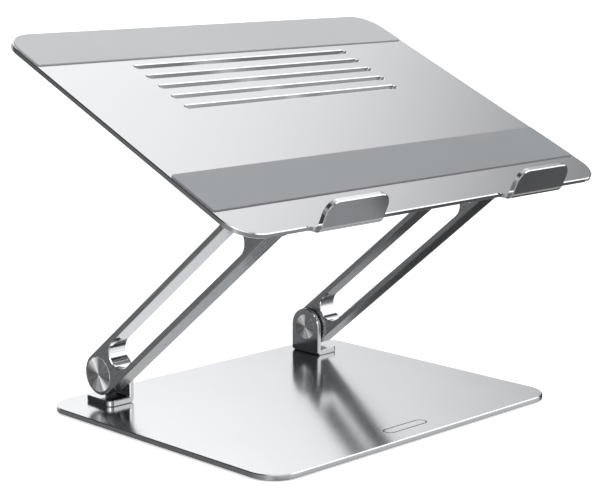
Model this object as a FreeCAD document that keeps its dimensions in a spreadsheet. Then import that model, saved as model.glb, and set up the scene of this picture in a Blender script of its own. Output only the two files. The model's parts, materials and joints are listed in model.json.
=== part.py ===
"""Folding laptop stand: a base plate, two slotted arms and a slotted tray with two front lips.

Each arm turns on a friction pivot at either end.  One bracket, bolt, washer and spring stack
serves all four pivots: two stand on the base plate and two hang under the tray.

Frame: millimetres, +Z up, +Y to the rear, +X to the right.  The origin is on the desk, at the
middle of the floor area that the opened stand covers.
"""
import FreeCAD
import Part

import math
import os
import re

import Sketcher

DIMENSIONS = {
    # Base plate
    "base_width": 240, "base_depth": 200, "base_thick": 3, "base_corner": 18,
    # Tray plate, with its lower edge at the front
    "tray_width": 300, "tray_depth": 220, "tray_thick": 3, "tray_corner": 18,
    "edge_chamfer": 0.5,
    # Silicone strips across both plates
    "strip_depth": 36, "strip_inset": 1.5, "strip_corner": 1.5, "strip_edge": 0.3,
    "foot_strip_thick": 0.8, "tray_strip_thick": 0.8, "front_strip_start": 25,
    # Cooling slots in the tray, counted forwards from the rear strip
    "vent_count": 5, "vent_pitch": 12, "vent_length": 174, "vent_width": 4.5,
    "vent_strip_gap": 9,
    # Front lips, bent up from the tray plate
    "lip_width": 47, "lip_spacing": 155, "lip_height": 17, "lip_reach": 2.7,
    "lip_bend": 2, "lip_corner": 8, "lip_root": 4, "lip_flare": 3,
    "lip_pad_thick": 1, "lip_pad_margin": 2.5, "lip_pad_lift": 0.2,
    # Arms
    "arm_length": 180, "arm_width": 25.5, "arm_thick": 13, "arm_chamfer": 0.4,
    "pocket_wall": 1.95, "window_wall": 5.2, "window_beam": 3.6,
    # Brackets
    "pivot_setback": 22.5, "tray_pivot_setback": 42.6, "arm_gap": 1.65,
    "ear_inner": 79, "ear_thick": 3, "bracket_length": 25,
    "foot_length": 18.5, "foot_thick": 3.6, "foot_corner": 4,
    "bend_outer": 2.5, "bend_inner": 1.2, "bracket_chamfer": 0.5,
    # Pivot stack, from the ear outwards
    "head_gap": 1.4, "head_thick": 1.2, "shoulder_radius": 4, "thread_radius": 3,
    "ear_cap_radius": 8.4, "ear_cap_thick": 0.8, "arm_cap_thick": 1.2,
    "cap_proud": 0.2, "cap_gap": 0.1, "cap_chamfer": 0.25, "cap_back_gap": 0.15,
    "bush_wall": 1, "washer_thick": 0.95, "washer_margin": 0.25, "thrust_thick": 1,
    "thrust_gap": 1.8, "spring_radius": 7, "spring_thick": 0.8, "spring_rise": 0.45,
    "nut_flats": 10, "nut_thick": 3, "thread_spare": 0.3,
    "running_gap": 0.05,
    # Countersunk bracket screws
    "screw_radius": 2, "screw_head_radius": 3.8, "screw_hole_gap": 0.2, "screw_bite": 3,
    "screw_spacing": 14,
    # Blank engraved badge outline on the base plate
    "badge_length": 34, "badge_width": 8, "badge_line": 0.7, "badge_depth": 0.25,
    "badge_setback": 16,
    # Opened pose
    "arm_angle": 39, "tray_angle": 24,
}

# Sizes that follow from the driving ones, so that neighbours still fit when one is changed
FITS = {
    "pivot_height": "foot_thick + arm_gap + arm_width/2",
    "ear_outer": "ear_inner + ear_thick",
    "foot_outer": "ear_inner + foot_length",
    "screw_line": "(ear_outer + foot_outer)/2",
    "arm_inner": "ear_outer + washer_thick + running_gap",
    "arm_outer": "arm_inner + arm_thick",
    "arm_cap_radius": "arm_width/2 - pocket_wall",
    "window_radius": "arm_width/2 - window_beam",
    "window_start": "arm_cap_radius + window_wall + window_radius",
    "washer_radius": "arm_width/2 - washer_margin",
    "head_radius": "ear_cap_radius - head_gap",
    "head_face": "ear_inner + ear_cap_thick - cap_proud",
    "head_seat": "head_face + head_thick",
    "thrust_radius": "arm_cap_radius - thrust_gap",
    "spring_stack": "2*(spring_thick + spring_rise)",
    "cap_back": "arm_outer + cap_proud - arm_cap_thick",
    "bolt_end": "cap_back - cap_back_gap",
    "nut_seat": "bolt_end - thread_spare - nut_thick",
    "shoulder_end": "nut_seat - spring_stack",
    "thrust_face": "shoulder_end - thrust_thick",
    "web_outer": "thrust_face - running_gap",
    "bore_radius": "shoulder_radius + running_gap",
    "lip_outer": "lip_reach + tray_thick",
    "rear_strip_start": "tray_depth - strip_inset - strip_depth",
    "vent_last": "rear_strip_start - vent_strip_gap",
}

SIDES = {"left": -1, "right": 1}
SLACK = 0.01              # lengths this close are taken as equal when edges are picked
LEAST_CUT = 0.1           # a cut that removes less volume than this has missed

doc = FreeCAD.newDocument("laptop_stand")
sheet = doc.addObject("Spreadsheet::Sheet", "dims")
for row, (alias, value) in enumerate(DIMENSIONS.items(), start=1):
    sheet.set(f"A{row}", alias)
    sheet.set(f"B{row}", str(value))
    sheet.setAlias(f"B{row}", alias)
doc.recompute()

nodes = {}


def bind(text):
    """An expression with fits written out and each driving dimension looked up on the sheet."""
    def look_up(match):
        word = match.group()
        if word in FITS:
            return f"({bind(FITS[word])})"
        return f"dims.{word}" if word in DIMENSIONS else word

    return re.sub("[a-z_]+", look_up, text)


def size(text):
    """The present value of a named size or of an expression of them."""
    found = sheet.evalExpression(bind(text))
    return float(getattr(found, "Value", found))


def plane_of(body, role):
    """One of a body's own origin planes or axes."""
    for feature in body.Origin.OriginFeatures:
        if feature.Role == role:
            return feature
    raise ValueError(role)


def new_body(name):
    """An empty body that will be written out under this name."""
    body = doc.addObject("PartDesign::Body", name)
    body.Label = name
    nodes[name] = body
    return body


def new_sketch(body, plane, height="0"):
    """A sketch on an origin plane, lifted along the plane's normal."""
    sketch = body.newObject("Sketcher::SketchObject", f"{body.Name}_sketch")
    sketch.AttachmentSupport = [(plane_of(body, plane), "")]
    sketch.MapMode = "FlatFace"
    sketch.setExpression("AttachmentOffset.Base.z", bind(height))
    return sketch


def hold(sketch, kind, places, text):
    """A sketch dimension bound to the sheet."""
    index = sketch.addConstraint(Sketcher.Constraint(kind, *places, size(text)))
    sketch.setExpression(f"Constraints[{index}]", bind(text))


def hold_point(sketch, geometry, point, place):
    """Fix one point of a sketch at a bound position."""
    hold(sketch, "DistanceX", (-1, 1, geometry, point), place[0])
    hold(sketch, "DistanceY", (-1, 1, geometry, point), place[1])


def add_polygon(sketch, corners):
    """A closed outline with straight sides through bound corners."""
    spots = [FreeCAD.Vector(size(x), size(y), 0) for x, y in corners]
    first = sketch.GeometryCount
    count = len(spots)
    for index in range(count):
        sketch.addGeometry(Part.LineSegment(spots[index], spots[(index + 1) % count]))
    for index in range(count):
        following = first + (index + 1) % count
        sketch.addConstraint(Sketcher.Constraint("Coincident", first + index, 2, following, 1))
    for index, corner in enumerate(corners):
        hold_point(sketch, first + index, 1, corner)


def add_rectangle(sketch, low, high):
    """A rectangle between two bound corners."""
    add_polygon(sketch, [low, (high[0], low[1]), high, (low[0], high[1])])


def add_circle(sketch, radius, centre=("0", "0")):
    """A circle with a bound radius and centre."""
    spot = FreeCAD.Vector(size(centre[0]), size(centre[1]), 0)
    normal = FreeCAD.Vector(0, 0, 1)
    index = sketch.addGeometry(Part.Circle(spot, normal, size(radius)))
    hold(sketch, "Radius", (index,), radius)
    hold_point(sketch, index, 3, centre)


def add_stadium(sketch, start, end, radius, level="0"):
    """A slot outline: two half circles on a level line, joined by tangent sides."""
    x_start, x_end, rise = size(start), size(end), size(radius)
    middle = size(level)
    normal = FreeCAD.Vector(0, 0, 1)
    quarter = math.pi / 2
    first = sketch.GeometryCount
    near = Part.Circle(FreeCAD.Vector(x_start, middle, 0), normal, rise)
    far = Part.Circle(FreeCAD.Vector(x_end, middle, 0), normal, rise)
    sketch.addGeometry(Part.ArcOfCircle(near, quarter, 3 * quarter))
    sketch.addGeometry(Part.LineSegment(FreeCAD.Vector(x_start, middle - rise, 0),
                                        FreeCAD.Vector(x_end, middle - rise, 0)))
    sketch.addGeometry(Part.ArcOfCircle(far, -quarter, quarter))
    sketch.addGeometry(Part.LineSegment(FreeCAD.Vector(x_end, middle + rise, 0),
                                        FreeCAD.Vector(x_start, middle + rise, 0)))
    for index in range(4):
        following = first + (index + 1) % 4
        sketch.addConstraint(Sketcher.Constraint("Tangent", first + index, 2, following, 1))
    hold(sketch, "Radius", (first,), radius)
    hold(sketch, "Radius", (first + 2,), radius)
    hold_point(sketch, first, 3, (start, level))
    hold_point(sketch, first + 2, 3, (end, level))


def add_arch(sketch, half_width, drop):
    """A plate outline that is round above the pivot and square at its foot."""
    reach, depth = size(half_width), size(drop)
    first = sketch.GeometryCount
    circle = Part.Circle(FreeCAD.Vector(0, 0, 0), FreeCAD.Vector(0, 0, 1), reach)
    sketch.addGeometry(Part.ArcOfCircle(circle, 0, math.pi))
    sides = [(-reach, 0), (-reach, -depth), (reach, -depth), (reach, 0)]
    for begin, finish in zip(sides, sides[1:]):
        sketch.addGeometry(Part.LineSegment(FreeCAD.Vector(*begin, 0),
                                            FreeCAD.Vector(*finish, 0)))
    sketch.addConstraint(Sketcher.Constraint("Tangent", first, 2, first + 1, 1))
    sketch.addConstraint(Sketcher.Constraint("Coincident", first + 1, 2, first + 2, 1))
    sketch.addConstraint(Sketcher.Constraint("Coincident", first + 2, 2, first + 3, 1))
    sketch.addConstraint(Sketcher.Constraint("Tangent", first + 3, 2, first, 1))
    sketch.addConstraint(Sketcher.Constraint("Horizontal", first + 2))
    hold(sketch, "Radius", (first,), half_width)
    hold_point(sketch, first, 3, ("0", "0"))
    hold(sketch, "DistanceY", (-1, 1, first + 2, 1), f"-({drop})")


def pad(body, sketch, length, backwards=False):
    """Add material along the sketch's normal."""
    feature = body.newObject("PartDesign::Pad", f"{body.Name}_pad")
    feature.Profile = sketch
    feature.setExpression("Length", bind(length))
    feature.Reversed = backwards
    doc.recompute()
    return feature


def pocket(body, sketch, length, backwards=False):
    """Cut material against the sketch's normal, and make sure that it cut something."""
    before = body.Shape.Volume
    feature = body.newObject("PartDesign::Pocket", f"{body.Name}_pocket")
    feature.Profile = sketch
    feature.setExpression("Length", bind(length))
    feature.Reversed = backwards
    doc.recompute()
    if body.Shape.Volume > before - LEAST_CUT:
        raise ValueError(f"{feature.Name} cuts nothing")
    return feature


def turn(body, corners, plane="XZ_Plane", axis="H_Axis"):
    """A turned piece: a half section, spun about the sketch's own axis."""
    sketch = new_sketch(body, plane)
    add_polygon(sketch, corners)
    feature = body.newObject("PartDesign::Revolution", f"{body.Name}_turn")
    feature.Profile = sketch
    feature.ReferenceAxis = (sketch, [axis])
    feature.Angle = 360
    doc.recompute()
    return feature


def edges_where(body, test):
    """Names of the edges of a body's present solid that pass a test on their middle point."""
    found = []
    for index, edge in enumerate(body.Shape.Edges, start=1):
        middle = edge.valueAt((edge.FirstParameter + edge.LastParameter) / 2)
        if test(edge, middle):
            found.append(f"Edge{index}")
    if not found:
        raise ValueError(f"no edges found on {body.Label}")
    return found


def dress(body, kind, amount, test):
    """Fillet or chamfer the edges that pass a test."""
    names = edges_where(body, test)
    solid = body.Tip
    feature = body.newObject(f"PartDesign::{kind}", f"{body.Name}_{kind.lower()}")
    feature.Base = (solid, names)
    feature.setExpression("Radius" if kind == "Fillet" else "Size", bind(amount))
    doc.recompute()
    return feature


def near(first, second, slack=SLACK):
    """Whether two lengths agree."""
    return abs(first - second) < slack


def runs_along(edge, axis):
    """Whether an edge is straight and parallel to an axis, 0 for X, 1 for Y and 2 for Z."""
    if edge.Curve.TypeId != "Part::GeomLine":
        return False
    return abs(edge.tangentAt(edge.FirstParameter)[axis]) > 0.999


def place(body, spot, angle=0):
    """Move a body to a point and turn it about the X direction."""
    turned = FreeCAD.Rotation(FreeCAD.Vector(1, 0, 0), angle)
    body.Placement = FreeCAD.Placement(spot, turned)


# Layout of the opened stand.  Seen from the side, the arms rise forwards from the pivots near
# the rear of the base, and the tray rises backwards from the pivots near its front edge.
ARM_ANGLE = math.radians(size("arm_angle"))
TRAY_ANGLE = math.radians(size("tray_angle"))
PLATE_BOTTOM = size("foot_strip_thick")
PLATE_TOP = PLATE_BOTTOM + size("base_thick")

along_arm = FreeCAD.Vector(0, -math.cos(ARM_ANGLE), math.sin(ARM_ANGLE))
along_tray = FreeCAD.Vector(0, math.cos(TRAY_ANGLE), math.sin(TRAY_ANGLE))
off_tray = FreeCAD.Vector(0, -math.sin(TRAY_ANGLE), math.cos(TRAY_ANGLE))

low_pivot = FreeCAD.Vector(0, size("base_depth/2 - pivot_setback"),
                           PLATE_TOP + size("pivot_height"))
high_pivot = low_pivot + along_arm * size("arm_length")
tray_front = (high_pivot + off_tray * size("pivot_height + tray_thick")
              - along_tray * size("tray_pivot_setback"))
lip_tip = tray_front - along_tray * size("lip_outer") + off_tray * size("lip_height - edge_chamfer")
tray_rear = tray_front + along_tray * size("tray_depth")
rearmost = max(size("base_depth/2"), tray_rear.y)
base_centre = FreeCAD.Vector(0, -(lip_tip.y + rearmost) / 2, 0)

low_pivot += base_centre
high_pivot += base_centre
tray_front += base_centre


def strip(name, near_edge, far_edge, plate_width, thick, follow_corner, round_far, worn_face):
    """A silicone strip right across a plate; a strip at a plate's end follows its corners."""
    body = new_body(name)
    sketch = new_sketch(body, "XY_Plane")
    half = f"{plate_width}/2 - strip_inset"
    add_rectangle(sketch, (f"-({half})", near_edge), (half, far_edge))
    pad(body, sketch, thick)
    end = size(far_edge if round_far else near_edge)
    if follow_corner:
        dress(body, "Fillet", follow_corner,
              lambda edge, mid: runs_along(edge, 2) and near(mid.y, end))
        dress(body, "Fillet", "strip_corner",
              lambda edge, mid: runs_along(edge, 2) and abs(mid.y - end) > size("strip_depth/2"))
    else:
        dress(body, "Fillet", "strip_corner", lambda edge, mid: runs_along(edge, 2))
    face = size(worn_face)
    dress(body, "Fillet", "strip_edge", lambda edge, mid: near(mid.z, face))
    return body


def screw_holes(body, level, depth_text, seats, backwards):
    """Clearance holes for the bracket screws, countersunk from the strip's side of a plate."""
    sketch = new_sketch(body, "XY_Plane", level)
    for seat in seats:
        add_circle(sketch, "screw_radius + screw_hole_gap", seat)
    pocket(body, sketch, depth_text, backwards)
    hole = size("screw_radius") + size("screw_hole_gap")
    face = size(level)
    dress(body, "Chamfer", "screw_head_radius - screw_radius - screw_hole_gap",
          lambda edge, mid: hasattr(edge.Curve, "Radius") and near(edge.Curve.Radius, hole)
          and near(mid.z, face))


def screw_seats(middle):
    """Where the four bracket screws pass through a plate, about a line at this distance."""
    return [(f"{side}*screw_line", f"{middle} + {step}*screw_spacing/2")
            for side in SIDES.values() for step in (-1, 1)]


def make_base_plate():
    """The plate that stands on the desk, bevelled on top, with a blank engraved badge."""
    body = new_body("base_plate")
    sketch = new_sketch(body, "XY_Plane")
    add_rectangle(sketch, ("-base_width/2", "-base_depth/2"), ("base_width/2", "base_depth/2"))
    pad(body, sketch, "base_thick")
    dress(body, "Fillet", "base_corner", lambda edge, mid: runs_along(edge, 2))
    dress(body, "Chamfer", "edge_chamfer",
          lambda edge, mid: near(mid.z, size("base_thick")))
    screw_holes(body, "0", "base_thick", screw_seats("base_depth/2 - pivot_setback"), True)
    badge = new_sketch(body, "XY_Plane", "base_thick")
    reach = "(badge_length - badge_width)/2"
    level = "badge_setback - base_depth/2"
    add_stadium(badge, f"-{reach}", reach, "badge_width/2", level)
    add_stadium(badge, f"-{reach}", reach, "badge_width/2 - badge_line", level)
    pocket(body, badge, "badge_depth")
    place(body, base_centre + FreeCAD.Vector(0, 0, PLATE_BOTTOM))


def make_foot_strips():
    """Non-slip silicone strips under the front and rear of the base plate."""
    follow = "base_corner - strip_inset"
    rear_edge = "base_depth/2 - strip_inset"
    rear = strip("foot_strip_rear", f"{rear_edge} - strip_depth", rear_edge, "base_width",
                 "foot_strip_thick", follow, True, "0")
    front = strip("foot_strip_front", f"-({rear_edge})", f"strip_depth - ({rear_edge})",
                  "base_width", "foot_strip_thick", follow, False, "0")
    place(rear, base_centre)
    place(front, base_centre)


def add_flare(sketch, side, end):
    """The concave corner where a lip leaves the plate's front edge."""
    x, radius, depth = size(side), size("lip_flare"), size("lip_root")
    outside = f"{side} + {end}*lip_flare"
    out = x + end * radius
    first = sketch.GeometryCount
    spots = [(x, -radius), (x, depth), (out, depth), (out, 0)]
    for begin, finish in zip(spots, spots[1:]):
        sketch.addGeometry(Part.LineSegment(FreeCAD.Vector(*begin, 0),
                                            FreeCAD.Vector(*finish, 0)))
    circle = Part.Circle(FreeCAD.Vector(out, -radius, 0), FreeCAD.Vector(0, 0, 1), radius)
    start = 0 if end < 0 else math.pi / 2
    sketch.addGeometry(Part.ArcOfCircle(circle, start, start + math.pi / 2))
    at_lip, at_plate = (1, 2) if end < 0 else (2, 1)
    for index in range(2):
        sketch.addConstraint(Sketcher.Constraint("Coincident", first + index, 2,
                                                 first + index + 1, 1))
    sketch.addConstraint(Sketcher.Constraint("Coincident", first + 2, 2, first + 3, at_plate))
    sketch.addConstraint(Sketcher.Constraint("Coincident", first, 1, first + 3, at_lip))
    hold_point(sketch, first, 1, (side, "-lip_flare"))
    hold_point(sketch, first + 1, 1, (side, "lip_root"))
    hold_point(sketch, first + 2, 1, (outside, "lip_root"))
    hold_point(sketch, first + 3, 3, (outside, "-lip_flare"))


def add_lips(body):
    """Two lips bent up from the tray's front edge, which stop the laptop sliding off."""
    sketch = new_sketch(body, "YZ_Plane", "(lip_spacing - lip_width)/2")
    add_polygon(sketch, [("lip_root", "-tray_thick"), ("-lip_outer", "-tray_thick"),
                         ("-lip_outer", "lip_height"), ("-lip_reach", "lip_height"),
                         ("-lip_reach", "0"), ("lip_root", "0")])
    lip = pad(body, sketch, "lip_width")
    flares = new_sketch(body, "XY_Plane", "-tray_thick")
    for end in (-1, 1):
        add_flare(flares, f"(lip_spacing + {end}*lip_width)/2", end)
    flare = pad(body, flares, "tray_thick")
    mirror = body.newObject("PartDesign::Mirrored", "lips_mirrored")
    mirror.Originals = [lip, flare]
    mirror.MirrorPlane = (plane_of(body, "YZ_Plane"), [""])
    body.Tip = mirror
    doc.recompute()
    inner, outer = -size("lip_reach"), -size("lip_outer")
    sides = [size(f"(lip_spacing + {end}*lip_width)/2") for end in (-1, 1)]

    def on_side(mid):
        return any(near(abs(mid.x), side) for side in sides)

    dress(body, "Fillet", "lip_bend",
          lambda edge, mid: runs_along(edge, 0) and near(mid.y, inner) and near(mid.z, 0))
    dress(body, "Fillet", "lip_bend + tray_thick",
          lambda edge, mid: runs_along(edge, 0) and near(mid.y, outer)
          and near(mid.z, -size("tray_thick")))
    dress(body, "Fillet", "lip_corner",
          lambda edge, mid: runs_along(edge, 1) and on_side(mid)
          and near(mid.z, size("lip_height")))
    dress(body, "Chamfer", "edge_chamfer",
          lambda edge, mid: near(mid.y, outer) and mid.z > size("lip_bend") + SLACK)


def make_tray_plate():
    """The slotted plate that carries the laptop, with its two lips."""
    body = new_body("tray_plate")
    sketch = new_sketch(body, "XY_Plane", "-tray_thick")
    add_rectangle(sketch, ("-tray_width/2", "0"), ("tray_width/2", "tray_depth"))
    pad(body, sketch, "tray_thick")
    dress(body, "Fillet", "tray_corner", lambda edge, mid: runs_along(edge, 2))
    dress(body, "Chamfer", "edge_chamfer", lambda edge, mid: near(mid.z, 0))
    add_lips(body)
    screw_holes(body, "0", "tray_thick", screw_seats("tray_pivot_setback"), False)
    vent = new_sketch(body, "XY_Plane")
    reach = "(vent_length - vent_width)/2"
    add_stadium(vent, f"-{reach}", reach, "vent_width/2", "vent_last")
    cut = pocket(body, vent, "tray_thick")
    row = body.newObject("PartDesign::LinearPattern", "vent_row")
    row.Originals = [cut]
    row.Direction = (vent, ["V_Axis"])
    row.Reversed = True
    row.setExpression("Length", bind("vent_pitch*(vent_count - 1)"))
    row.setExpression("Occurrences", bind("vent_count"))
    body.Tip = row
    doc.recompute()
    low = size("vent_last - vent_pitch*(vent_count - 1) - vent_width")
    high = size("vent_last + vent_width")
    half = size("vent_length/2") + SLACK
    dress(body, "Chamfer", "edge_chamfer",
          lambda edge, mid: near(mid.z, 0) and low < mid.y < high and abs(mid.x) < half)
    place(body, tray_front, size("tray_angle"))


def make_tray_strips():
    """Silicone strips on the tray: one behind the lips and one at its rear edge."""
    rear = strip("tray_strip_rear", "rear_strip_start", "rear_strip_start + strip_depth",
                 "tray_width", "tray_strip_thick", "tray_corner - strip_inset", True,
                 "tray_strip_thick")
    front = strip("tray_strip_front", "front_strip_start", "front_strip_start + strip_depth",
                  "tray_width", "tray_strip_thick", "", True, "tray_strip_thick")
    place(rear, tray_front, size("tray_angle"))
    place(front, tray_front, size("tray_angle"))


def make_lip_pad(name, side):
    """A silicone pad on the inner face of a lip."""
    body = new_body(name)
    sketch = new_sketch(body, "XZ_Plane", "lip_reach - lip_pad_thick")
    middle = f"{side}*lip_spacing/2"
    half = "(lip_width/2 - lip_pad_margin)"
    top_line = "lip_height - lip_pad_margin/2"
    add_rectangle(sketch, (f"{middle} - {half}", "lip_bend + lip_pad_lift"),
                  (f"{middle} + {half}", top_line))
    pad(body, sketch, "lip_pad_thick")
    top = size(top_line)
    dress(body, "Fillet", "lip_corner - lip_pad_margin",
          lambda edge, mid: runs_along(edge, 1) and near(mid.z, top))
    place(body, tray_front, size("tray_angle"))


def make_arm(name, side):
    """A slotted arm with a deep pocket at each end for the pivot's springs and nut."""
    body = new_body(name)
    backwards = side < 0
    inner = f"{side}*arm_inner"
    outer = f"{side}*arm_outer"
    sketch = new_sketch(body, "YZ_Plane", inner)
    add_stadium(sketch, "0", "arm_length", "arm_width/2")
    add_stadium(sketch, "window_start", "arm_length - window_start", "window_radius")
    pad(body, sketch, "arm_thick", backwards)
    faces = (size(inner), size(outer))
    dress(body, "Chamfer", "arm_chamfer",
          lambda edge, mid: any(near(mid.x, face) for face in faces))
    pivots = (("0", "0"), ("arm_length", "0"))
    cups = new_sketch(body, "YZ_Plane", outer)
    for pivot in pivots:
        add_circle(cups, "arm_cap_radius", pivot)
    pocket(body, cups, "arm_outer - web_outer", backwards)
    bores = new_sketch(body, "YZ_Plane", outer)
    for pivot in pivots:
        add_circle(bores, "bore_radius + bush_wall", pivot)
    pocket(body, bores, "arm_thick", backwards)
    place(body, low_pivot, 180 - size("arm_angle"))


def make_bracket(name, side, spot, angle):
    """An angle bracket: an ear that carries the pivot and a foot screwed to the plate."""
    body = new_body(name)
    backwards = side < 0
    inner = f"{side}*ear_inner"
    ear = new_sketch(body, "YZ_Plane", inner)
    add_arch(ear, "bracket_length/2", "pivot_height")
    pad(body, ear, "ear_thick", backwards)
    foot = new_sketch(body, "XY_Plane", "-pivot_height")
    add_rectangle(foot, (inner, "-bracket_length/2"), (f"{side}*foot_outer", "bracket_length/2"))
    pad(body, foot, "foot_thick")
    floor = -size("pivot_height")
    step = floor + size("foot_thick")
    dress(body, "Fillet", "bend_outer",
          lambda edge, mid: runs_along(edge, 1) and near(abs(mid.x), size("ear_inner"))
          and near(mid.z, floor))
    dress(body, "Fillet", "bend_inner",
          lambda edge, mid: runs_along(edge, 1) and near(abs(mid.x), size("ear_outer"))
          and near(mid.z, step))
    dress(body, "Fillet", "foot_corner",
          lambda edge, mid: runs_along(edge, 2) and near(abs(mid.x), size("foot_outer")))
    foot_end = size("foot_outer")

    def is_rim(edge, mid):
        if runs_along(edge, 1):
            return near(abs(mid.x), foot_end)
        if mid.z > step + size("bend_inner"):
            return not runs_along(edge, 0)
        return not (near(abs(mid.x), foot_end, size("foot_corner")) and runs_along(edge, 2))

    dress(body, "Chamfer", "bracket_chamfer", is_rim)
    recess = new_sketch(body, "YZ_Plane", inner)
    add_circle(recess, "ear_cap_radius + cap_gap")
    pocket(body, recess, "head_thick + ear_cap_thick - cap_proud", not backwards)
    hole = new_sketch(body, "YZ_Plane", inner)
    add_circle(hole, "shoulder_radius")
    pocket(body, hole, "ear_thick", not backwards)
    taps = new_sketch(body, "XY_Plane", "-pivot_height")
    for end in (-1, 1):
        add_circle(taps, "screw_radius", (f"{side}*screw_line", f"{end}*screw_spacing/2"))
    pocket(body, taps, "screw_bite", True)
    place(body, spot, angle)


def make_pivot(prefix, word, side, spot, angle):
    """The pieces of one friction pivot, each turned about the X direction."""
    def turned(name, corners):
        body = new_body(f"{prefix}_{name}_{word}")
        turn(body, [(f"{side}*({x})", y) for x, y in corners])
        place(body, spot, angle)

    def ring(name, start, end, inside, outside):
        turned(name, [(start, inside), (end, inside), (end, outside), (start, outside)])

    turned("pivot_bolt",
           [("head_face", "0"), ("head_face", "head_radius"), ("head_seat", "head_radius"),
            ("head_seat", "shoulder_radius"), ("shoulder_end", "shoulder_radius"),
            ("shoulder_end", "thread_radius"), ("bolt_end", "thread_radius"), ("bolt_end", "0")])
    ring("friction_washer", "ear_outer", "ear_outer + washer_thick",
         "shoulder_radius", "washer_radius")
    ring("thrust_washer", "thrust_face", "shoulder_end", "shoulder_radius", "thrust_radius")
    make_springs(f"{prefix}_disc_springs_{word}", side, spot, angle)
    make_nut(f"{prefix}_lock_nut_{word}", side, spot, angle)
    cap = "ear_inner - cap_proud"
    turned("ear_cap",
           [(cap, "0"), (cap, "ear_cap_radius - cap_chamfer"),
            (f"{cap} + cap_chamfer", "ear_cap_radius"), ("head_face", "ear_cap_radius"),
            ("head_face", "0")])


def make_springs(name, side, spot, angle):
    """Two disc springs, set back to back so that they press the pivot together."""
    rim, bore = size("spring_radius"), size("thread_radius")
    thick, rise = size("spring_thick"), size("spring_rise")
    begin = size("shoulder_end")
    touch = begin + rise
    discs = []
    for outer, inner in ((begin, touch), (touch + thick + rise, touch + thick)):
        corners = [(outer, rim), (outer + thick, rim), (inner + thick, bore), (inner, bore)]
        points = [FreeCAD.Vector(side * x, 0, y) for x, y in corners]
        face = Part.Face(Part.makePolygon(points + points[:1]))
        discs.append(face.revolve(FreeCAD.Vector(0, 0, 0), FreeCAD.Vector(1, 0, 0), 360))
    feature = doc.addObject("Part::Feature", name)
    feature.Label = name
    feature.Shape = Part.makeCompound(discs)
    nodes[name] = feature
    place(feature, spot, angle)


def make_nut(name, side, spot, angle):
    """A thin hexagonal lock nut on the bolt's thread."""
    body = new_body(name)
    sketch = new_sketch(body, "YZ_Plane", f"{side}*nut_seat")
    corners = [(f"nut_flats/sqrt(3)*cos({60 * step})", f"nut_flats/sqrt(3)*sin({60 * step})")
               for step in range(6)]
    add_polygon(sketch, corners)
    add_circle(sketch, "thread_radius")
    pad(body, sketch, "nut_thick", side < 0)
    place(body, spot, angle)


def make_arm_fittings(prefix, word, side, spot):
    """The bush in an arm's bore and the spun cap that closes its pocket."""
    def turned(name, corners):
        body = new_body(name)
        turn(body, [(f"{side}*({x})", y) for x, y in corners])
        place(body, spot, 0)

    rim = "bore_radius + bush_wall"
    turned(f"{prefix}_arm_bush_{word}",
           [("arm_inner", "bore_radius"), ("web_outer", "bore_radius"), ("web_outer", rim),
            ("arm_inner", rim)])
    face = "arm_outer + cap_proud"
    turned(f"{prefix}_arm_cap_{word}",
           [("cap_back", "0"), ("cap_back", "arm_cap_radius"),
            (f"{face} - cap_chamfer", "arm_cap_radius"),
            (face, "arm_cap_radius - cap_chamfer"), (face, "0")])


def make_screws(name, plate_thick, spot, angle):
    """Four countersunk screws that hold a pair of brackets to a plate."""
    out = size("screw_line")
    head, shank = size("screw_head_radius"), size("screw_radius")
    bottom = -size(f"pivot_height + {plate_thick}")
    length = size(f"{plate_thick} + screw_bite")
    screws = []
    for side in SIDES.values():
        for step in (-1, 1):
            foot = FreeCAD.Vector(side * out, step * size("screw_spacing") / 2, bottom)
            up = FreeCAD.Vector(0, 0, 1)
            taper = Part.makeCone(head, shank, head - shank, foot, up)
            screws.append(taper.fuse(Part.makeCylinder(shank, length, foot, up)).removeSplitter())
    feature = doc.addObject("Part::Feature", name)
    feature.Label = name
    feature.Shape = Part.makeCompound(screws)
    nodes[name] = feature
    place(feature, spot, angle)


make_base_plate()
make_foot_strips()
make_tray_plate()
make_tray_strips()
PIVOTS = {"base": ("base_thick", low_pivot, 0),
          "tray": ("tray_thick", high_pivot, 180 + size("tray_angle"))}
for prefix, (plate_thick, spot, angle) in PIVOTS.items():
    make_screws(f"{prefix}_bracket_screws", plate_thick, spot, angle)
    for word, side in SIDES.items():
        make_bracket(f"{prefix}_bracket_{word}", side, spot, angle)
        make_pivot(prefix, word, side, spot, angle)
        make_arm_fittings(prefix, word, side, spot)
for word, side in SIDES.items():
    make_arm(f"arm_{word}", side)
    make_lip_pad(f"lip_pad_{word}", side)
doc.recompute()

for item in doc.Objects:
    if "Invalid" in item.State or "Error" in item.State:
        raise ValueError(f"{item.Label} failed: {item.State}")
for name, item in nodes.items():
    if item.Shape.isNull() or not item.Shape.isValid():
        raise ValueError(f"{name} has no valid shape")

os.makedirs("parts", exist_ok=True)
for name, item in nodes.items():
    item.Shape.exportStep(f"parts/{name}.step")
print(f"{len(nodes)} nodes written")
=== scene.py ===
import json
import math

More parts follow.
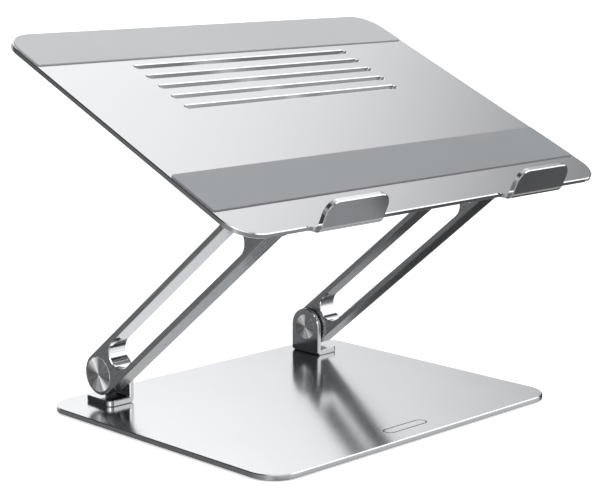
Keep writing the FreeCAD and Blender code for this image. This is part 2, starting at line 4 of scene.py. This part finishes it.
import bmesh
import bpy
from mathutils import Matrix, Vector


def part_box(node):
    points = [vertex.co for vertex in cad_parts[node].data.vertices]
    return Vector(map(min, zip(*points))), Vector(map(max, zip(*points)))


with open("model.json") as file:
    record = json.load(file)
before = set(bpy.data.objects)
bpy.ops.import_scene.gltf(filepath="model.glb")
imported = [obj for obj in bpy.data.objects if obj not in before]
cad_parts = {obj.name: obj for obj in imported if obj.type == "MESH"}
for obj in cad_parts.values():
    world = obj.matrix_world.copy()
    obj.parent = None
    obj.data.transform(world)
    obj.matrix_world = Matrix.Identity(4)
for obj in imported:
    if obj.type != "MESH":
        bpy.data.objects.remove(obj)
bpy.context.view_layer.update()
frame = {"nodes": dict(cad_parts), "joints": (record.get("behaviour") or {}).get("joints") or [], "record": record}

# ---------------------------------------------------------------------------------------------
# Studio, in metres: a white paper sweep, seven soft patches of sky, and a long lens that looks
# down slightly at the left front corner. Seen only in the metal, the floor is grey with a pale
# band and a dark patch painted on it: painted reflections that give the plates their lights and darks.
# ---------------------------------------------------------------------------------------------
PAPER_WHITE = "#f4f4f3"
PAPER_GLOW = 0.55
REFLECTED_FLOOR_GREY = "#a3a5a7"
REFLECTED_FLOOR_ROUGH = 0.12
REFLECTED_FLOOR_IOR = 1.49
FLOOR_HALF = 20.0
# The painted pale band, seen only in reflections, lies along the front of the stand, and the
# painted dark patch to its right. Their edges are soft, and each is given by where the patch
# starts and where it is full.
PAINTED_PALE_FRONT = (-0.155, -0.135)
PAINTED_PALE_BACK = (-0.088, -0.095)
PAINTED_PALE_SHARE = 0.45
PAINTED_DARK_REFLECTION = "#1c1d1e"
PAINTED_DARK_LEFT = (0.105, 0.12)
PAINTED_DARK_BACK = (0.09, 0.06)
# Each patch: azimuth clockwise from +Y, elevation, how far from its middle it starts to fade
# and where it has faded out, all in degrees, and strength. The tray mirrors "high", the base
# plate "low" and what faces forwards "side"; the others are for the stand's other sides.
SKY_WHITE = "#ffffff"
SKY_AMBIENT = 0.06
SKY_PATCHES = {
    "high": (36.5, 45, 3, 36.5, 1.5),
    "low": (24.5, 1, 3, 46.5, 0.97),
    "side": (135, 19, 28, 40, 1.5),
    "fill": (-130, 20, 20, 55, 0.7),
    "left": (-82, 14, 8, 31, 0.6),
    "spot": (-118, 32, 5, 24, 2.8),
    "top": (180, 70, 12, 43, 0.75),
}
LENS_MM = 101.54
SENSOR_MM = 36
LENS_YAW = -44.61
LENS_PITCH = 10.875
LENS_FAR_END = 100
# Lens position from the middle of the base plate's top face
LENS_PLACE = (-0.7022, -0.7096, 0.2840)
# A Mix node's sockets by number, because its kinds of value share their names
COLOUR_A, COLOUR_B, COLOUR_RESULT = 6, 7, 2
NUMBER_A, NUMBER_B = 2, 3


def linear(hex_colour):
    """An sRGB hex colour as the linear colour with alpha that a socket takes."""
    parts = [int(hex_colour[i:i + 2], 16) / 255 for i in (1, 3, 5)]
    return [p / 12.92 if p <= 0.04045 else ((p + 0.055) / 1.055) ** 2.4 for p in parts] + [1.0]


def add_node(tree, kind, inputs=None, **settings):
    """A shader node with its settings, and each input set to a value or joined to a socket."""
    made = tree.nodes.new(kind)
    for name, value in settings.items():
        setattr(made, name, value)
    for name, value in (inputs or {}).items():
        socket = made.inputs[name]
        if isinstance(value, bpy.types.NodeSocket):
            tree.links.new(value, socket)
        else:
            socket.default_value = value
    return made


def new_material(name):
    """An empty node material, with its node tree."""
    material = bpy.data.materials.new(name)
    material.use_nodes = True
    material.node_tree.nodes.clear()
    return material, material.node_tree


def reflection_patch_share(tree, parts, share, *edges):
    """The share of a painted reflection patch at a point on the floor: full inside its soft edges, 0 outside."""
    for axis, (start, full) in edges:
        share = add_node(tree, "ShaderNodeMapRange",
                         {"Value": parts.outputs[axis], "From Min": start, "From Max": full,
                          "To Max": share}).outputs["Result"]
    return share


scene = bpy.context.scene
scene.view_settings.view_transform = "Standard"

world = bpy.data.worlds.new("studio")
scene.world = world
world.use_nodes = True
tree = world.node_tree
tree.nodes.clear()
direction = add_node(tree, "ShaderNodeTexCoord").outputs["Generated"]
glow = SKY_AMBIENT
for azimuth, elevation, inner, outer, strength in SKY_PATCHES.values():
    turn, rise = math.radians(azimuth), math.radians(elevation)
    towards = (math.sin(turn) * math.cos(rise), math.cos(turn) * math.cos(rise), math.sin(rise))
    facing = add_node(tree, "ShaderNodeVectorMath", {0: direction, 1: towards},
                      operation="DOT_PRODUCT")
    patch = add_node(tree, "ShaderNodeMapRange",
                     {"Value": facing.outputs["Value"], "From Min": math.cos(math.radians(outer)),
                      "From Max": math.cos(math.radians(inner)), "To Min": 0.0,
                      "To Max": strength}, interpolation_type="SMOOTHSTEP")
    glow = add_node(tree, "ShaderNodeMath", {0: glow, 1: patch.outputs["Result"]},
                    operation="ADD").outputs["Value"]
sky = add_node(tree, "ShaderNodeBackground", {"Color": linear(SKY_WHITE), "Strength": glow})
add_node(tree, "ShaderNodeOutputWorld", {"Surface": sky.outputs["Background"]})

floor_mesh = bpy.data.meshes.new("sweep")
bm = bmesh.new()
bmesh.ops.create_grid(bm, x_segments=1, y_segments=1, size=FLOOR_HALF)
bm.to_mesh(floor_mesh)
bm.free()
sweep = bpy.data.objects.new("sweep", floor_mesh)
scene.collection.objects.link(sweep)

sweep_paper, tree = new_material("sweep_paper")
# The camera sees plain white paper; every other ray sees a grey floor with a painted pale band and a painted dark
# patch, which paint reflections into the metal.
seen = add_node(tree, "ShaderNodeLightPath").outputs["Is Camera Ray"]
white = add_node(tree, "ShaderNodeBsdfDiffuse", {"Color": linear(PAPER_WHITE)})
lit = add_node(tree, "ShaderNodeEmission",
               {"Color": linear(PAPER_WHITE), "Strength": PAPER_GLOW})
paper = add_node(tree, "ShaderNodeAddShader",
                 {0: white.outputs["BSDF"], 1: lit.outputs["Emission"]})
parts = add_node(tree, "ShaderNodeSeparateXYZ",
                 {"Vector": add_node(tree, "ShaderNodeTexCoord").outputs["Object"]})
painted_dark = reflection_patch_share(tree, parts, 1.0, ("X", PAINTED_DARK_LEFT), ("Y", PAINTED_DARK_BACK))
painted_pale = reflection_patch_share(tree, parts, PAINTED_PALE_SHARE, ("Y", PAINTED_PALE_FRONT), ("Y", PAINTED_PALE_BACK))
reflected_floor_tone = add_node(tree, "ShaderNodeMix",
                      {"Factor": painted_dark, COLOUR_A: linear(REFLECTED_FLOOR_GREY),
                       COLOUR_B: linear(PAINTED_DARK_REFLECTION)}, data_type="RGBA")
reflected_floor = add_node(tree, "ShaderNodeBsdfPrincipled",
                   {"Base Color": reflected_floor_tone.outputs[COLOUR_RESULT],
                    "Roughness": REFLECTED_FLOOR_ROUGH, "IOR": REFLECTED_FLOOR_IOR})
with_painted_pale = add_node(tree, "ShaderNodeMixShader",
                  {"Fac": painted_pale, 1: reflected_floor.outputs["BSDF"], 2: paper.outputs["Shader"]})
floor = add_node(tree, "ShaderNodeMixShader",
                 {"Fac": seen, 1: with_painted_pale.outputs["Shader"], 2: paper.outputs["Shader"]})
add_node(tree, "ShaderNodeOutputMaterial", {"Surface": floor.outputs["Shader"]})
floor_mesh.materials.append(sweep_paper)

plate_low, plate_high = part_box("base_plate")
plate_middle = (plate_low + plate_high) / 2
lens = bpy.data.cameras.new("lens")
lens.lens = LENS_MM
lens.sensor_width = SENSOR_MM
lens.clip_end = LENS_FAR_END
camera = bpy.data.objects.new("camera", lens)
camera.location = (plate_middle.x + LENS_PLACE[0], plate_middle.y + LENS_PLACE[1],
                   plate_high.z + LENS_PLACE[2])
camera.rotation_euler = (math.radians(90 - LENS_PITCH), 0, math.radians(LENS_YAW))
scene.collection.objects.link(camera)
scene.camera = camera

# ---------------------------------------------------------------------------------------------
# Base plate: 3 mm aluminium sheet, blasted with fine glass bead and clear anodised. Its top edge
# is then cut with a diamond tool, which leaves it bright, and the blank badge outline is
# engraved and filled with dark ink.
# ---------------------------------------------------------------------------------------------
MM = 0.001                # a millimetre in metres
SATIN = ("#c2c3c5", "#c7c8ca")
SATIN_ROUGH = (0.14, 0.16)
BRIGHT_CUT = "#e6e7e9"
CUT_ROUGH = 0.05
BLAST_GRAIN_MM = 0.6      # real bead dimples are 0.1 mm, too fine to show
BLAST_GRAIN_DETAIL = 2.0
BLAST_HEIGHT_MM = 0.0004
CLOUD_MM = 60             # the anodising's slow change of tone across a sheet
CLOUD_DETAIL = 3.0
NOISE_SPAN = (0.35, 0.65)  # where nearly all of a noise's values lie
BRUSH_KEEP = 1 / 60       # how much slower the grain changes along a brushed piece
EDGE_CUT_MM = 0.5
CUT_START_MM = 0.02       # just under a face, so that the face itself stays satin
CUT_SPARE = 1.02          # a cut is coloured a little past its own depth, so no gap shows
BADGE_SETBACK_MM = 16     # from the plate's front edge to the badge's middle
BADGE_HALF_MM = 13        # from the badge's middle to the centre of each round end
BADGE_LINE_MM = (3.25, 4.05)
BADGE_INK = "#2c2d2f"
BADGE_INK_ROUGH = 0.6
BADGE_MIDDLE = Vector((plate_middle.x, plate_low.y + BADGE_SETBACK_MM * MM, 0))
nodes = frame["nodes"]


def between(tree, value, low, high):
    """1 where a value lies between two limits, otherwise 0."""
    middle, half = (low + high) / 2, abs(high - low) / 2
    return add_node(tree, "ShaderNodeMath", {0: value, 1: middle, 2: half},
                    operation="COMPARE").outputs["Value"]


def distance_along(tree, place, start, way):
    """How far a point lies from a start point along a direction."""
    moved = add_node(tree, "ShaderNodeVectorMath", {0: place, 1: tuple(start)},
                     operation="SUBTRACT").outputs["Vector"]
    return add_node(tree, "ShaderNodeVectorMath", {0: moved, 1: tuple(way)},
                    operation="DOT_PRODUCT").outputs["Value"]


def size_across(tree, vector):
    """The size of a vector's X, which is alike on the left and the right."""
    across = add_node(tree, "ShaderNodeSeparateXYZ", {"Vector": vector}).outputs["X"]
    return add_node(tree, "ShaderNodeMath", {0: across}, operation="ABSOLUTE").outputs["Value"]


def cut_rim(tree, depth, cut_mm):
    """1 where a depth below a face lies within the bright cut round that face, otherwise 0."""
    return between(tree, depth, CUT_START_MM * MM, cut_mm * MM * CUT_SPARE)


def blasted_aluminium(name, find_cut, tones=SATIN, satin_rough=SATIN_ROUGH, brushed_along=None,
                      find_mark=None):
    """Blasted, anodised aluminium: a blurred mirror, with a bright glint along each cut edge.

    find_cut returns 1 for a point on a cut, and find_mark 1 for a point under ink. A piece that
    was brushed before it was blasted keeps faint lines along its length.
    """
    material, tree = new_material(name)
    place = add_node(tree, "ShaderNodeTexCoord").outputs["Object"]
    cut = find_cut(tree, place)
    cloud = add_node(tree, "ShaderNodeTexNoise",
                     {"Vector": place, "Scale": 1 / (CLOUD_MM * MM), "Detail": CLOUD_DETAIL})
    grain_place = place
    if brushed_along:
        length = distance_along(tree, place, (0, 0, 0), brushed_along)
        shift = add_node(tree, "ShaderNodeVectorMath",
                         {0: tuple(brushed_along), "Scale": length}, operation="SCALE")
        grain_place = add_node(tree, "ShaderNodeVectorMath",
                               {0: shift.outputs["Vector"], 1: (BRUSH_KEEP - 1,) * 3, 2: place},
                               operation="MULTIPLY_ADD").outputs["Vector"]
    grain = add_node(tree, "ShaderNodeTexNoise",
                     {"Vector": grain_place, "Scale": 1 / (BLAST_GRAIN_MM * MM),
                      "Detail": BLAST_GRAIN_DETAIL})
    uneven = grain if brushed_along else cloud
    satin = add_node(tree, "ShaderNodeMapRange",
                     {"Value": uneven.outputs["Fac"], "From Min": NOISE_SPAN[0],
                      "From Max": NOISE_SPAN[1], "To Min": satin_rough[0],
                      "To Max": satin_rough[1]})
    tone = add_node(tree, "ShaderNodeMix",
                    {"Factor": uneven.outputs["Fac"], COLOUR_A: linear(tones[0]),
                     COLOUR_B: linear(tones[1])}, data_type="RGBA")
    rough = add_node(tree, "ShaderNodeMix",
                     {"Factor": cut, NUMBER_A: satin.outputs["Result"], NUMBER_B: CUT_ROUGH})
    colour = add_node(tree, "ShaderNodeMix",
                      {"Factor": cut, COLOUR_A: tone.outputs[COLOUR_RESULT],
                       COLOUR_B: linear(BRIGHT_CUT)}, data_type="RGBA")
    uncut = add_node(tree, "ShaderNodeMath", {0: 1.0, 1: cut}, operation="SUBTRACT")
    bump = add_node(tree, "ShaderNodeBump",
                    {"Strength": uncut.outputs["Value"], "Distance": BLAST_HEIGHT_MM * MM,
                     "Height": grain.outputs["Fac"]})
    metal = add_node(tree, "ShaderNodeBsdfPrincipled",
                     {"Base Color": colour.outputs[COLOUR_RESULT], "Metallic": 1.0,
                      "Roughness": rough.outputs["Result"], "Normal": bump.outputs["Normal"]})
    surface = metal.outputs["BSDF"]
    if find_mark:
        ink = add_node(tree, "ShaderNodeBsdfPrincipled",
                       {"Base Color": linear(BADGE_INK), "Roughness": BADGE_INK_ROUGH})
        surface = add_node(tree, "ShaderNodeMixShader",
                           {"Fac": find_mark(tree, place), 1: surface,
                            2: ink.outputs["BSDF"]}).outputs["Shader"]
    add_node(tree, "ShaderNodeOutputMaterial", {"Surface": surface})
    return material


def dress(material, *names):
    """Give CAD pieces their material."""
    for name in names:
        slots = nodes[name].data.materials
        slots.clear()
        slots.append(material)


def badge_mark(tree, place):
    """1 along the badge outline, at one distance from the line between its two end centres."""
    moved = add_node(tree, "ShaderNodeVectorMath", {0: place, 1: tuple(BADGE_MIDDLE)},
                     operation="SUBTRACT").outputs["Vector"]
    beyond = add_node(tree, "ShaderNodeMath",
                      {0: size_across(tree, moved), 1: BADGE_HALF_MM * MM}, operation="SUBTRACT")
    past_end = add_node(tree, "ShaderNodeMath", {0: beyond.outputs["Value"], 1: 0.0},
                        operation="MAXIMUM")
    ahead = distance_along(tree, moved, (0, 0, 0), (0, 1, 0))
    flat = add_node(tree, "ShaderNodeCombineXYZ", {"X": past_end.outputs["Value"], "Y": ahead})
    away = add_node(tree, "ShaderNodeVectorMath", {0: flat.outputs["Vector"]},
                    operation="LENGTH")
    return between(tree, away.outputs["Value"], BADGE_LINE_MM[0] * MM, BADGE_LINE_MM[1] * MM)


def base_edge(tree, place):
    """The plate's cut top edge, just under its top face."""
    depth = distance_along(tree, place, (0, 0, plate_high.z), (0, 0, -1))
    return cut_rim(tree, depth, EDGE_CUT_MM)


dress(blasted_aluminium("blasted_aluminium_base", base_edge, find_mark=badge_mark), "base_plate")

# ---------------------------------------------------------------------------------------------
# Foot strips: grey silicone sheet, moulded with a fine skin so that it grips the desk, cut to
# length and glued under the front and the rear of the base plate.
# ---------------------------------------------------------------------------------------------
SILICONE = ("#929598", "#9a9da0")
SILICONE_ROUGH = (0.42, 0.52)
SILICONE_IOR = 1.41
SILICONE_CLOUD_MM = 40
SILICONE_CLOUD_DETAIL = 4.0
SKIN_MM = 1.2             # the moulded skin's real texture is 0.2 mm, too fine to show
SKIN_DETAIL = 3.0
SKIN_SPAN = (0.3, 0.7)
SKIN_HEIGHT_MM = 0.03
SKIN_STRENGTH = 0.6


def moulded_silicone(name, colours):
    """Soft rubber: dull and slightly cloudy, with a faint moulded skin and no sharp glint."""
    material, tree = new_material(name)
    place = add_node(tree, "ShaderNodeTexCoord").outputs["Object"]
    cloud = add_node(tree, "ShaderNodeTexNoise",
                     {"Vector": place, "Scale": 1 / (SILICONE_CLOUD_MM * MM),
                      "Detail": SILICONE_CLOUD_DETAIL})
    skin = add_node(tree, "ShaderNodeTexNoise",
                    {"Vector": place, "Scale": 1 / (SKIN_MM * MM), "Detail": SKIN_DETAIL})
    tone = add_node(tree, "ShaderNodeMix",
                    {"Factor": cloud.outputs["Fac"], COLOUR_A: linear(colours[0]),
                     COLOUR_B: linear(colours[1])}, data_type="RGBA")
    rough = add_node(tree, "ShaderNodeMapRange",
                     {"Value": skin.outputs["Fac"], "From Min": SKIN_SPAN[0],
                      "From Max": SKIN_SPAN[1], "To Min": SILICONE_ROUGH[0],
                      "To Max": SILICONE_ROUGH[1]})
    bump = add_node(tree, "ShaderNodeBump",
                    {"Strength": SKIN_STRENGTH, "Distance": SKIN_HEIGHT_MM * MM,
                     "Height": skin.outputs["Fac"]})
    rubber = add_node(tree, "ShaderNodeBsdfPrincipled",
                      {"Base Color": tone.outputs[COLOUR_RESULT], "IOR": SILICONE_IOR,
                       "Roughness": rough.outputs["Result"], "Normal": bump.outputs["Normal"]})
    add_node(tree, "ShaderNodeOutputMaterial", {"Surface": rubber.outputs["BSDF"]})
    return material


silicone = moulded_silicone("moulded_silicone_grey", SILICONE)
dress(silicone, "foot_strip_front", "foot_strip_rear")

# ---------------------------------------------------------------------------------------------
# Arms: milled aluminium bar with a long window, brushed along its length, blasted and anodised.
# The rims of both faces are cut bright afterwards, and the window's wall is left polished.
# ---------------------------------------------------------------------------------------------
ARM_SATIN = ("#9c9d9f", "#d2d3d4")
ARM_ROUGH = (0.2, 0.36)
ARM_CUT_MM = 0.4
WINDOW_REACH_MM = 10.5    # the window's wall lies within this of the arm's middle line
WINDOW_LEAN = 0.1         # the window's wall faces sideways by less than this
arm_low, arm_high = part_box("arm_right")
arm_start, arm_end = [Vector(joint["pos_m"]) for joint in frame["joints"]]
arm_along = (arm_end - arm_start).normalized()
arm_across = arm_along.cross(Vector((1, 0, 0)))


def arm_rims(tree, place):
    """The bright rims along both faces of an arm, and the wall of its window."""
    facing = add_node(tree, "ShaderNodeTexCoord").outputs["Normal"]
    lean = distance_along(tree, facing, (0, 0, 0), (1, 0, 0))
    beside = distance_along(tree, place, arm_start, arm_across)
    along = distance_along(tree, place, arm_start, arm_along)
    bright = 1.0
    for value, low, high in ((lean, -WINDOW_LEAN, WINDOW_LEAN),
                             (beside, -WINDOW_REACH_MM * MM, WINDOW_REACH_MM * MM),
                             (along, 0.0, (arm_end - arm_start).length)):
        bright = add_node(tree, "ShaderNodeMath", {0: between(tree, value, low, high), 1: bright},
                          operation="MULTIPLY").outputs["Value"]
    out = size_across(tree, place)
    for first, second in ((out, arm_low.x), (arm_high.x, out)):
        depth = add_node(tree, "ShaderNodeMath", {0: first, 1: second}, operation="SUBTRACT")
        rim = cut_rim(tree, depth.outputs["Value"], ARM_CUT_MM)
        bright = add_node(tree, "ShaderNodeMath", {0: bright, 1: rim},
                          operation="MAXIMUM").outputs["Value"]
    return bright


brushed_arms = blasted_aluminium("brushed_aluminium_arms", arm_rims, ARM_SATIN, ARM_ROUGH,
                                 arm_along)
dress(brushed_arms, "arm_left", "arm_right")

# ---------------------------------------------------------------------------------------------
# Brackets: thick aluminium angle, an ear and a foot, blasted and anodised like the plates. Its
# edges are bevelled bright, and two countersunk screws hold each foot to its plate.
# ---------------------------------------------------------------------------------------------
PREFIXES = ("base", "tray")
SIDES = ("left", "right")
BEVEL_LEAN = (0.6, 0.8)   # a bevel at 45 degrees faces sideways by 0.71


def bracket_rims(tree, place):
    """The bevels round a bracket, which face half sideways."""
    facing = add_node(tree, "ShaderNodeTexCoord").outputs["Normal"]
    return between(tree, size_across(tree, facing), *BEVEL_LEAN)


bracket_metal = blasted_aluminium("blasted_aluminium_brackets", bracket_rims)
for prefix in PREFIXES:
    for side in SIDES:
        dress(bracket_metal, f"{prefix}_bracket_{side}")

# ---------------------------------------------------------------------------------------------
# Spun caps: aluminium discs, faced on a lathe so that fine rings fan the light, and pressed
# over each pivot from both sides. Brighter fans are also painted into their colour by angle,
# as a painted highlight.
# ---------------------------------------------------------------------------------------------
# The caps' own grey, and the white of the painted highlight fans
SPUN_TONE_AND_PAINTED_FAN = ("#c4c5c7", "#ffffff")
SPUN_ROUGH = 0.62
SPUN_PULL = 0.88          # how far the rings pull a highlight out into a fan
RING_PITCH_MM = 0.4       # a real tool leaves rings 0.1 mm apart, too fine to show
RING_HEIGHT_MM = 0.004
WAVE_TURNS = 20           # the wave texture runs through this many radians per unit of scale
PAINTED_FANS_PER_RADIAN = 1.5
PAINTED_FAN_DETAIL = 1.0
PAINTED_FAN_STEP = (0.42, 0.58)   # a narrow step, so that each painted fan has a clear edge


def spun_aluminium_painted_fans(name, centre):
    """Faced metal: rings round a centre that fan the light, with bright fans also painted into the colour by angle
    round it.
    """
    material, tree = new_material(name)
    place = add_node(tree, "ShaderNodeTexCoord").outputs["Object"]
    from_centre = add_node(tree, "ShaderNodeVectorMath", {0: place, 1: tuple(centre)},
                           operation="SUBTRACT").outputs["Vector"]
    parts = add_node(tree, "ShaderNodeSeparateXYZ", {"Vector": from_centre})
    turn = add_node(tree, "ShaderNodeMath", {0: parts.outputs["Y"], 1: parts.outputs["Z"]},
                    operation="ARCTAN2")
    # Painted highlight: bright and dim wedges painted into the colour by angle round the centre
    painted_fans = add_node(tree, "ShaderNodeTexNoise",
                    {"W": turn.outputs["Value"], "Scale": PAINTED_FANS_PER_RADIAN,
                     "Detail": PAINTED_FAN_DETAIL}, noise_dimensions="1D")
    rings = add_node(tree, "ShaderNodeTexWave",
                     {"Vector": from_centre,
                      "Scale": 2 * math.pi / (WAVE_TURNS * RING_PITCH_MM * MM)},
                     wave_type="RINGS", rings_direction="X")
    painted_fan_step = add_node(tree, "ShaderNodeMapRange",
                         {"Value": painted_fans.outputs["Fac"], "From Min": PAINTED_FAN_STEP[0],
                          "From Max": PAINTED_FAN_STEP[1]})
    tone = add_node(tree, "ShaderNodeMix",
                    {"Factor": painted_fan_step.outputs["Result"], COLOUR_A: linear(SPUN_TONE_AND_PAINTED_FAN[0]),
                     COLOUR_B: linear(SPUN_TONE_AND_PAINTED_FAN[1])}, data_type="RGBA")
    bump = add_node(tree, "ShaderNodeBump",
                    {"Strength": 1.0, "Distance": RING_HEIGHT_MM * MM,
                     "Height": rings.outputs["Fac"]})
    ring_way = add_node(tree, "ShaderNodeTangent", direction_type="RADIAL", axis="X")
    metal = add_node(tree, "ShaderNodeBsdfPrincipled",
                     {"Base Color": tone.outputs[COLOUR_RESULT], "Metallic": 1.0,
                      "Roughness": SPUN_ROUGH, "Anisotropic": SPUN_PULL,
                      "Normal": bump.outputs["Normal"], "Tangent": ring_way.outputs["Tangent"]})
    add_node(tree, "ShaderNodeOutputMaterial", {"Surface": metal.outputs["BSDF"]})
    return material


for prefix in PREFIXES:
    cap_low, cap_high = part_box(f"{prefix}_arm_cap_right")
    spun_with_painted_fans = spun_aluminium_painted_fans(f"spun_aluminium_painted_fans_{prefix}", (cap_low + cap_high) / 2)
    for side in SIDES:
        dress(spun_with_painted_fans, f"{prefix}_ear_cap_{side}", f"{prefix}_arm_cap_{side}")

# ---------------------------------------------------------------------------------------------
# Pivot stacks: moulded nylon washers give the friction, sintered bronze bushes carry the arms,
# and zinc-plated steel bolts, washers, disc springs and nuts clamp them. The bracket screws are
# zinc-plated too. Nylon looks dull and black, zinc grey with a warm cast, and bronze brown.
# ---------------------------------------------------------------------------------------------
# Two tones, metallic, middle roughness, and the width of the grain in mm
HARDWARE = {
    "black_nylon": ("#141415", "#1d1d1f", 0.0, 0.45, 0.8),
    "zinc_plated_steel": ("#a9abad", "#b8b6b0", 1.0, 0.30, 1.5),
    "sintered_bronze": ("#a2804e", "#8b6a3c", 1.0, 0.45, 0.4),
}
HARDWARE_DETAIL = 3.0
ROUGH_SPREAD = 0.06
hardware = {}
for name, (first, second, metallic, roughness, grain_mm) in HARDWARE.items():
    material, tree = new_material(name)
    place = add_node(tree, "ShaderNodeTexCoord").outputs["Object"]
    grain = add_node(tree, "ShaderNodeTexNoise",
                     {"Vector": place, "Scale": 1 / (grain_mm * MM), "Detail": HARDWARE_DETAIL})
    tone = add_node(tree, "ShaderNodeMix",
                    {"Factor": grain.outputs["Fac"], COLOUR_A: linear(first),
                     COLOUR_B: linear(second)}, data_type="RGBA")
    rough = add_node(tree, "ShaderNodeMapRange",
                     {"Value": grain.outputs["Fac"], "To Min": roughness - ROUGH_SPREAD,
                      "To Max": roughness + ROUGH_SPREAD})
    surface = add_node(tree, "ShaderNodeBsdfPrincipled",
                       {"Base Color": tone.outputs[COLOUR_RESULT], "Metallic": metallic,
                        "Roughness": rough.outputs["Result"]})
    add_node(tree, "ShaderNodeOutputMaterial", {"Surface": surface.outputs["BSDF"]})
    hardware[name] = material
for prefix in PREFIXES:
    dress(hardware["zinc_plated_steel"], f"{prefix}_bracket_screws")
    for side in SIDES:
        dress(hardware["black_nylon"], f"{prefix}_friction_washer_{side}")
        dress(hardware["sintered_bronze"], f"{prefix}_arm_bush_{side}")
        dress(hardware["zinc_plated_steel"], f"{prefix}_pivot_bolt_{side}",
              f"{prefix}_thrust_washer_{side}", f"{prefix}_disc_springs_{side}",
              f"{prefix}_lock_nut_{side}")

# ---------------------------------------------------------------------------------------------
# Tray plate: 3 mm aluminium sheet with five cooling slots and two lips bent up at its front
# edge, blasted and anodised, with the plate's edge, the slots and the lips' rims cut bright.
# ---------------------------------------------------------------------------------------------
STRIP_THICK_MM = 0.8      # the laptop rests on the strips, this far above the tray's face
LIP_START_MM = 2.2        # what stands higher than this over the tray's face is a lip
LIP_LEAN = 0.5            # a lip's rims face along the tray by less than this
laptop_rest = next(m for m in frame["record"]["mounts"] if m["name"] == "laptop_rest")
off_tray = Vector(laptop_rest["axis"])
along_tray = Vector((0, off_tray.z, -off_tray.y))
on_tray = Vector(laptop_rest["pos_m"]) - off_tray * STRIP_THICK_MM * MM
lip_reach = min(along_tray.dot(v.co - on_tray) for v in nodes["tray_plate"].data.vertices)
on_lip_face = on_tray + along_tray * lip_reach


def tray_edges(tree, place):
    """The cut edge of the plate and its slots, and the cut rims of the lips."""
    depth = distance_along(tree, place, on_tray, -off_tray)
    edge = cut_rim(tree, depth, EDGE_CUT_MM)
    rim = cut_rim(tree, distance_along(tree, place, on_lip_face, along_tray), EDGE_CUT_MM)
    facing = add_node(tree, "ShaderNodeTexCoord").outputs["Normal"]
    lean = distance_along(tree, facing, (0, 0, 0), along_tray)
    sides = between(tree, lean, -LIP_LEAN, LIP_LEAN)
    rims = add_node(tree, "ShaderNodeMath", {0: rim, 1: sides}, operation="MAXIMUM")
    on_lip = add_node(tree, "ShaderNodeMath", {0: depth, 1: -LIP_START_MM * MM},
                      operation="LESS_THAN")
    lip_rims = add_node(tree, "ShaderNodeMath",
                        {0: rims.outputs["Value"], 1: on_lip.outputs["Value"]},
                        operation="MULTIPLY")
    return add_node(tree, "ShaderNodeMath", {0: edge, 1: lip_rims.outputs["Value"]},
                    operation="MAXIMUM").outputs["Value"]


dress(blasted_aluminium("blasted_aluminium_tray", tray_edges), "tray_plate")

# ---------------------------------------------------------------------------------------------
# Tray strips and lip pads: the same moulded silicone, glued on the tray's face, where the laptop
# rests, and inside the lips, which stop it. The rear strip is the same silicone too, with a
# paler colour painted in for the light that it catches.
# Painted light: the rear strip's silicone made paler where more light falls on it
REAR_SILICONE_PAINTED_PALER = ("#bbbdbf", "#c3c5c7")
dress(silicone, "tray_strip_front", "lip_pad_left", "lip_pad_right")
dress(moulded_silicone("moulded_silicone_painted_paler", REAR_SILICONE_PAINTED_PALER), "tray_strip_rear")
